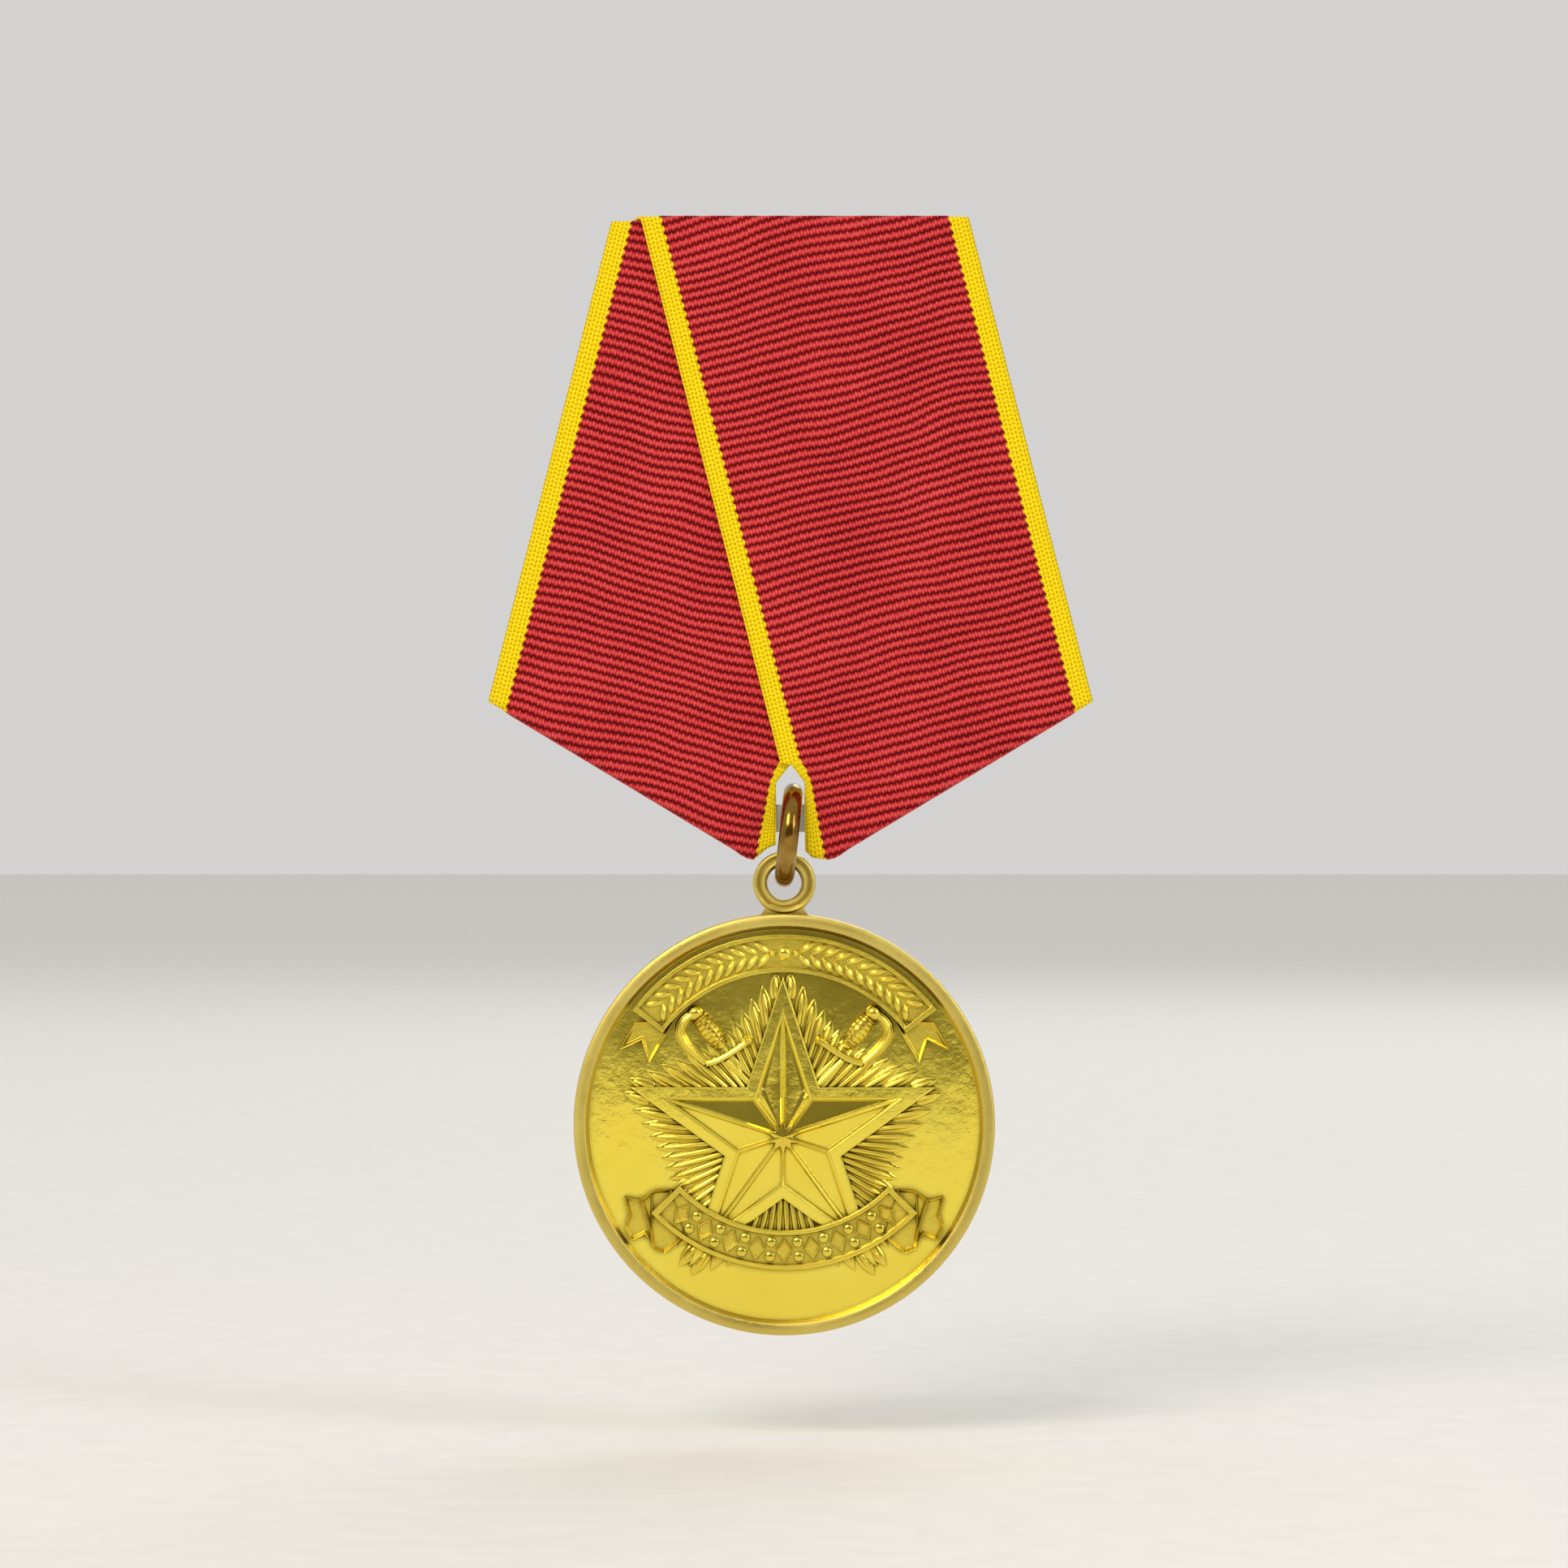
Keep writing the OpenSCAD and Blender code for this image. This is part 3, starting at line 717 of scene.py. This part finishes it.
# red ground: a painted highlight on the crown of a rib and of a warp thread, painted shade
# between the ribs
painted_rib_light = add(tree, "Math", {0: warp_crown.outputs[0], 2: rib_crown.outputs[0]},
          {1: 0.38}, operation="MULTIPLY_ADD")
painted_light_and_patches = add(tree, "Math", {0: patch.outputs["Fac"], 2: painted_rib_light.outputs[0]},
                {1: 0.3}, operation="MULTIPLY_ADD")
painted_light_and_fuzz = add(tree, "Math", {0: fuzz.outputs["Fac"], 2: painted_light_and_patches.outputs[0]},
               {1: 0.5}, operation="MULTIPLY_ADD")
painted_light_share = add(tree, "MapRange", {"Value": painted_light_and_fuzz.outputs[0]},
                {"From Min": 0.62, "From Max": 1.8})
# the ramp runs from painted shade in the gaps to a painted highlight on the crowns
red = ramp(tree, painted_light_share.outputs[0], [(0.0, "#3C0002"), (0.3, "#800207"),
                                        (0.62, "#BC1E24"), (1.0, "#E45654")])
# yellow selvage: a small plain weave, twice as fine along the ribbon as the ribs
check_a = add(tree, "Math", {0: across}, {1: math.pi / 0.3}, operation="MULTIPLY")
check_b = add(tree, "Math", {0: fuzzy_along.outputs[0]}, {1: math.pi / (rib_pitch / 2)},
              operation="MULTIPLY")
sum_turn = add(tree, "Math", {0: check_a.outputs[0], 1: check_b.outputs[0]},
               operation="ADD")
gap_turn = add(tree, "Math", {0: check_a.outputs[0], 1: check_b.outputs[0]},
               operation="SUBTRACT")
float_a = add(tree, "Math", {0: sum_turn.outputs[0]}, operation="SINE")
float_b = add(tree, "Math", {0: gap_turn.outputs[0]}, operation="SINE")
weave = add(tree, "Math", {0: float_a.outputs[0], 1: float_b.outputs[0]},
            operation="MULTIPLY")
weave_share = add(tree, "MapRange", {"Value": weave.outputs[0]},
                  {"From Min": -1.0, "From Max": 0.8})
# one yellow, painted darker where the threads dip and lighter on their crowns: painted shade
# and painted highlight
yellow = ramp(tree, weave_share.outputs[0], [(0.0, "#C09600"), (0.3, "#E6C200"),
                                             (0.65, "#FFDE00"), (1.0, "#FFEA1C")])
# the border of the selvage is scalloped, because each rib turns back there
off_centre = add(tree, "Math", {0: across}, {1: ribbon_w / 2}, operation="SUBTRACT")
from_centre = add(tree, "Math", {0: off_centre.outputs[0]}, operation="ABSOLUTE")
scallop = add(tree, "Math", {0: rib_crown.outputs[0], 2: from_centre.outputs[0]},
              {1: 0.2}, operation="MULTIPLY_ADD")
in_selvage = add(tree, "MapRange", {"Value": scallop.outputs[0]},
                 {"From Min": ribbon_w / 2 - selvage_w + 0.1,
                  "From Max": ribbon_w / 2 - selvage_w + 0.16})
both = add(tree, "Mix", {"Factor": in_selvage.outputs[0], "A": red, "B": yellow},
           data_type="RGBA")
tree.links.new(both.outputs["Result"], shader.inputs["Base Color"])
warp_height = add(tree, "Math", {0: warp_crown.outputs[0], 2: rib_crown.outputs[0]},
                  {1: 0.5}, operation="MULTIPLY_ADD")
relief = add(tree, "Mix", {"Factor": in_selvage.outputs[0], "A": warp_height.outputs[0],
                           "B": weave_share.outputs[0]}, data_type="FLOAT")
thread_bump = add(tree, "Bump", {"Height": relief.outputs["Result"]},
                  {"Strength": 0.75, "Distance": 0.07 * MM})
fuzz_bump = add(tree, "Bump", {"Height": fuzz.outputs["Fac"],
                               "Normal": thread_bump.outputs[0]},
                {"Strength": 0.35, "Distance": 0.04 * MM})
tree.links.new(fuzz_bump.outputs[0], shader.inputs["Normal"])

# %% [markdown]
# Each leg of the ribbon starts as a flat woven strip, a fine grid whose rows lie a sixth
# of a rib apart, so the ribs are real forms. The strip is then folded as hands would do
# it: laid down the long side of the block, turned over the top edge, and turned round
# the lower edge and the blunt foot. The ring has pushed the two inner selvages aside,
# which opens a slit with a pointed top. The right leg crosses over the left one and
# settles back onto the plate beyond it. Folding the grid point by point keeps the
# cloth's true length, except over the notch in the foot, where it is drawn up.

# %% Fold of a strip round an edge
plate_t = 0.8
ribbon_t = 0.35
rib_h = 0.11
cloth_t = 0.2
bend_r = 0.36
flap_l = 8.0
bend_room = 1.3
strip_l, strip_lead = 74.0, 17.0


def turn_over(past, front, back):
    """How far a point past the start of a bend gets, its depth, and how far it has turned."""
    quarter = bend_r * math.pi / 2
    straight = back - front - 2 * bend_r
    if past < 0:
        return past, front, 0.0
    if past < quarter:
        a = past / bend_r
        return bend_r * math.sin(a), front + bend_r * (1 - math.cos(a)), a
    if past < quarter + straight:
        return bend_r, front + bend_r + past - quarter, math.pi / 2
    if past < 2 * quarter + straight:
        a = (past - quarter - straight) / bend_r
        return bend_r * math.cos(a), back - bend_r + bend_r * math.sin(a), math.pi / 2 + a
    return 2 * quarter + straight - past, back, math.pi


def smooth(t):
    """A soft step from 0 to 1."""
    t = max(0.0, min(1.0, t))
    return t * t * (3 - 2 * t)


# %% The two legs
slit_half, slit_shoulder, slit_top = 1.1, 5.8, 7.2
foot_z = over_high.z - block_h
# the disc sways about the point where its eyelet hangs, in a round notch in the foot
hang_rise = 18.73
sway_x, sway_z = disc_place.x, disc_place.z + hang_rise
foot_notch_r, notch_reach = 2.55, 3.2
down = Vector((-math.sin(side_angle), -math.cos(side_angle)))
over_way = Vector((math.cos(side_angle), -math.sin(side_angle)))
outward = Vector((-math.sin(low_angle), -math.cos(low_angle)))
foot_corner = Vector((-foot_x, 0))
groove = ribbon_t - rib_h


def ribbon_leg(name, side, layer):
    """A folded strip, drawn as the left leg and mirrored by side."""
    rows = round(strip_l / (rib_pitch / 6))
    length = rows * rib_pitch / 6
    bm = bmesh.new()
    bmesh.ops.create_grid(bm, x_segments=44, y_segments=rows, size=0.5)
    bmesh.ops.scale(bm, vec=(ribbon_w, length, 1), verts=bm.verts)
    bmesh.ops.translate(bm, verts=bm.verts, vec=(ribbon_w / 2, length / 2 - strip_lead, 0))
    everything = bm.verts[:] + bm.edges[:] + bm.faces[:]
    turn = low_angle - side_angle
    top_left = Vector((-top_w / 2, block_h))
    bmesh.ops.bisect_plane(
        bm, geom=everything, plane_co=(0, -(flap_l + bend_room) / math.cos(side_angle), 0),
        plane_no=(-math.sin(side_angle), -math.cos(side_angle), 0), clear_outer=True)
    everything = bm.verts[:] + bm.edges[:] + bm.faces[:]
    end = (flap_l + bend_room - outward.dot(top_left - foot_corner)) / math.cos(turn)
    bmesh.ops.bisect_plane(bm, geom=everything, plane_co=(0, end, 0),
                           plane_no=(-math.sin(turn), math.cos(turn), 0), clear_outer=True)
    everything = bm.verts[:] + bm.edges[:] + bm.faces[:]
    bmesh.ops.bisect_plane(bm, geom=everything,
                           plane_co=(0, (block_h + 3.3) / math.cos(side_angle), 0),
                           plane_no=(math.sin(side_angle), math.cos(side_angle), 0),
                           clear_outer=True)
    weave_map = bm.loops.layers.uv.new("weave")
    top_line = block_h - rib_h - ribbon_t * (1 - layer)
    for v in bm.verts:
        t, s = v.co.x, v.co.y
        wobble = 0.5 * noise.noise(Vector((t / 9, s / 14, 3 + layer)))
        wobble += 0.16 * noise.noise(Vector((t / 3, s / 4, 7 + layer)))
        for loop in v.link_loops:
            loop[weave_map].uv = (t, s + wobble)
        flat = top_left + s * down + t * over_way
        # the ring holds the inner selvage aside
        inner = leg_top - (block_h - flat.y) * math.tan(side_angle)
        open_half = slit_half * max(0.0, min(1.0, (slit_top - flat.y)
                                             / (slit_top - slit_shoulder)))
        push = max(0.0, inner + open_half) if flat.y < slit_top else 0.0
        flat.x -= push * max(0.0, 1 - (ribbon_w - t) / 2.6) ** 1.5
        lift = 0.0
        if layer:
            under_edge = leg_top - (block_h - flat.y) * math.tan(side_angle)
            lift = 1 - smooth((side * flat.x - under_edge) / 2.4)
        front = -groove - ribbon_t * lift
        edge_share = smooth((min(t, ribbon_w - t) - selvage_w + 0.25) / 0.4)
        crown = abs(math.cos(math.pi * (s + wobble) / rib_pitch)) ** 0.7
        height = rib_h * (0.45 + (crown - 0.45) * edge_share)
        near_foot = smooth((flat.x + foot_x) / 3 + 0.5)
        way = outward.lerp(Vector((0, -1)), near_foot).normalized()
        past_low = way.dot(flat - foot_corner) + rib_h + bend_r
        past_top = flat.y - top_line + bend_r
        if past_low > 0:
            back = plate_t + groove
            reach, depth, angle = turn_over(past_low, front, back)
            reach += height * math.sin(angle)
            flat += way * (reach - past_low)
        else:
            back = plate_t + groove + ribbon_t * layer
            reach, depth, angle = turn_over(past_top, front, back)
            reach += height * math.sin(angle)
            flat.y += reach - past_top
        # the cloth over the notch is drawn up clear of the eyelet
        aside = abs(side * flat.x - sway_x)
        if aside < foot_notch_r and flat.y < notch_reach:
            notch_top = sway_z - foot_z + math.sqrt(foot_notch_r ** 2 - aside ** 2)
            flat.y += max(0.0, notch_top) * (1 - flat.y / notch_reach)
        v.co = (side * flat.x, plate_y + depth - height * math.cos(angle),
                foot_z + flat.y)
    behind = [f for f in bm.faces if f.calc_center_median().y > plate_y + plate_t]
    low_behind = [f for f in behind if f.calc_center_median().z < foot_z + block_h / 2]
    parts = set(low_behind)
    for f in low_behind:
        parts.update(f.edges)
        parts.update(f.verts)
    bmesh.ops.bisect_plane(bm, geom=list(parts), plane_co=(-side * 1.9, 0, 0),
                           plane_no=(side, 0, 0), clear_outer=True)
    bmesh.ops.scale(bm, vec=(MM, MM, MM), verts=bm.verts)
    bmesh.ops.recalc_face_normals(bm, faces=bm.faces)
    front_face = min(bm.faces, key=lambda f: f.calc_center_median().y)
    if front_face.normal.y > 0:
        bmesh.ops.reverse_faces(bm, faces=bm.faces)
    mesh = bpy.data.meshes.new(name)
    bm.to_mesh(mesh)
    bm.free()
    mesh.shade_smooth()
    mesh.materials.append(grosgrain)
    piece = bpy.data.objects.new(name, mesh)
    bpy.context.scene.collection.objects.link(piece)
    body = piece.modifiers.new("cloth_thickness", "SOLIDIFY")
    body.thickness = cloth_t * MM
    body.offset = -1
    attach(piece, "block")
    area = sum(p.area for p in mesh.polygons)
    print(name, len(mesh.polygons), "faces,", round(area / MM ** 2), "mm2 of cloth")
    return piece, area


under_leg, under_area = ribbon_leg("ribbon_under_leg", 1, 0)
over_leg, over_area = ribbon_leg("ribbon_over_leg", -1, 1)
for leg, area, node_name in ((under_leg, under_area, "ribbon_left"),
                             (over_leg, over_area, "ribbon_right")):
    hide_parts(node_name)

# %% [markdown]
# Floor, light and camera. A mirror shows what surrounds it, so the finish of the disc is
# made as much by the lights as by its material: broad soft panels give the long bright
# passages, and the grey card further down gives the deep olive ones.

# %% Floor
bm = bmesh.new()
bmesh.ops.create_grid(bm, x_segments=1, y_segments=1, size=3.0)
bmesh.ops.translate(bm, verts=bm.verts, vec=(0, 0, (disc_low.z - 8) * MM))
floor_mesh = bpy.data.meshes.new("floor")
bm.to_mesh(floor_mesh)
bm.free()
floor_piece = bpy.data.objects.new("floor", floor_mesh)
bpy.context.scene.collection.objects.link(floor_piece)
paper, tree, shader = new_finish("pale_paper", Roughness=0.85)
fibre = add(tree, "TexNoise", {"Vector": add(tree, "TexCoord").outputs["Object"]},
            {"Scale": 1 / (4 * MM), "Detail": 4.0})
tree.links.new(ramp(tree, fibre.outputs["Fac"], [(0.3, "#EBE9E5"), (0.7, "#F0EEEA")]),
               shader.inputs["Base Color"])
floor_mesh.materials.append(paper)

# %% Lights and world


def panel(name, place, size, power, colour):
    """A soft rectangular light that faces the disc."""
    data = bpy.data.lights.new(name, "AREA")
    data.shape = "RECTANGLE"
    data.size, data.size_y = size
    data.energy = power
    data.color = hex_colour(colour)[:3]
    lamp = bpy.data.objects.new(name, data)
    lamp.location = place
    aim = Vector((0, 0, -0.03)) - Vector(place)
    lamp.rotation_euler = aim.to_track_quat("-Z", "Y").to_euler()
    bpy.context.scene.collection.objects.link(lamp)


panel("key", (-0.4, -0.75, 0.6), (0.45, 0.4), 4.6, "#FFF6E8")
panel("fill", (0.75, -0.6, 0.38), (0.3, 0.4), 2.0, "#F4F7FF")
panel("back_light", (0.3, 0.8, 0.55), (0.6, 0.5), 1.6, "#FFFFFF")
world = bpy.data.worlds.new("studio")
bpy.context.scene.world = world
world.use_nodes = True
world.node_tree.nodes["Background"].inputs["Color"].default_value = hex_colour("#E9E8E6")
world.node_tree.nodes["Background"].inputs["Strength"].default_value = 0.8

# %% [markdown]
# A grey card stands on the floor well in front of the medal. It is the only darker
# thing that a flat mirror facing forwards can show, so the parts of the disc that tip
# upwards turn olive, and those that tip down stay bright with the pale floor.

# %% Grey card
bm = bmesh.new()
bmesh.ops.create_grid(bm, x_segments=1, y_segments=1, size=0.5)
bmesh.ops.scale(bm, vec=(1.9, 0.62, 1), verts=bm.verts)
bmesh.ops.transform(bm, verts=bm.verts, matrix=Matrix.Translation(
    (0, -1.15, (disc_low.z - 8) * MM + 0.31)) @ Matrix.Rotation(math.pi / 2, 4, "X"))
card_mesh = bpy.data.meshes.new("grey_card")
bm.to_mesh(card_mesh)
bm.free()
card_paint, tree, shader = new_finish("matt_grey_card", Roughness=0.9)
shader.inputs["Base Color"].default_value = hex_colour("#827E74")
card_mesh.materials.append(card_paint)
card = bpy.data.objects.new("grey_card", card_mesh)
bpy.context.scene.collection.objects.link(card)

# %% Camera
view_w = 119.2
distance = 480
middle_x, middle_z = -0.5, over_high.z - 43.2
camera_data = bpy.data.cameras.new("camera")
camera_data.lens = camera_data.sensor_width / 2 * distance / (view_w / 2)
camera = bpy.data.objects.new("camera", camera_data)
camera.location = Vector((middle_x, plate_y - distance, middle_z)) * MM
camera.rotation_euler = (math.pi / 2, 0, 0)
bpy.context.scene.collection.objects.link(camera)
bpy.context.scene.camera = camera
bpy.context.scene.view_settings.view_transform = "Standard"
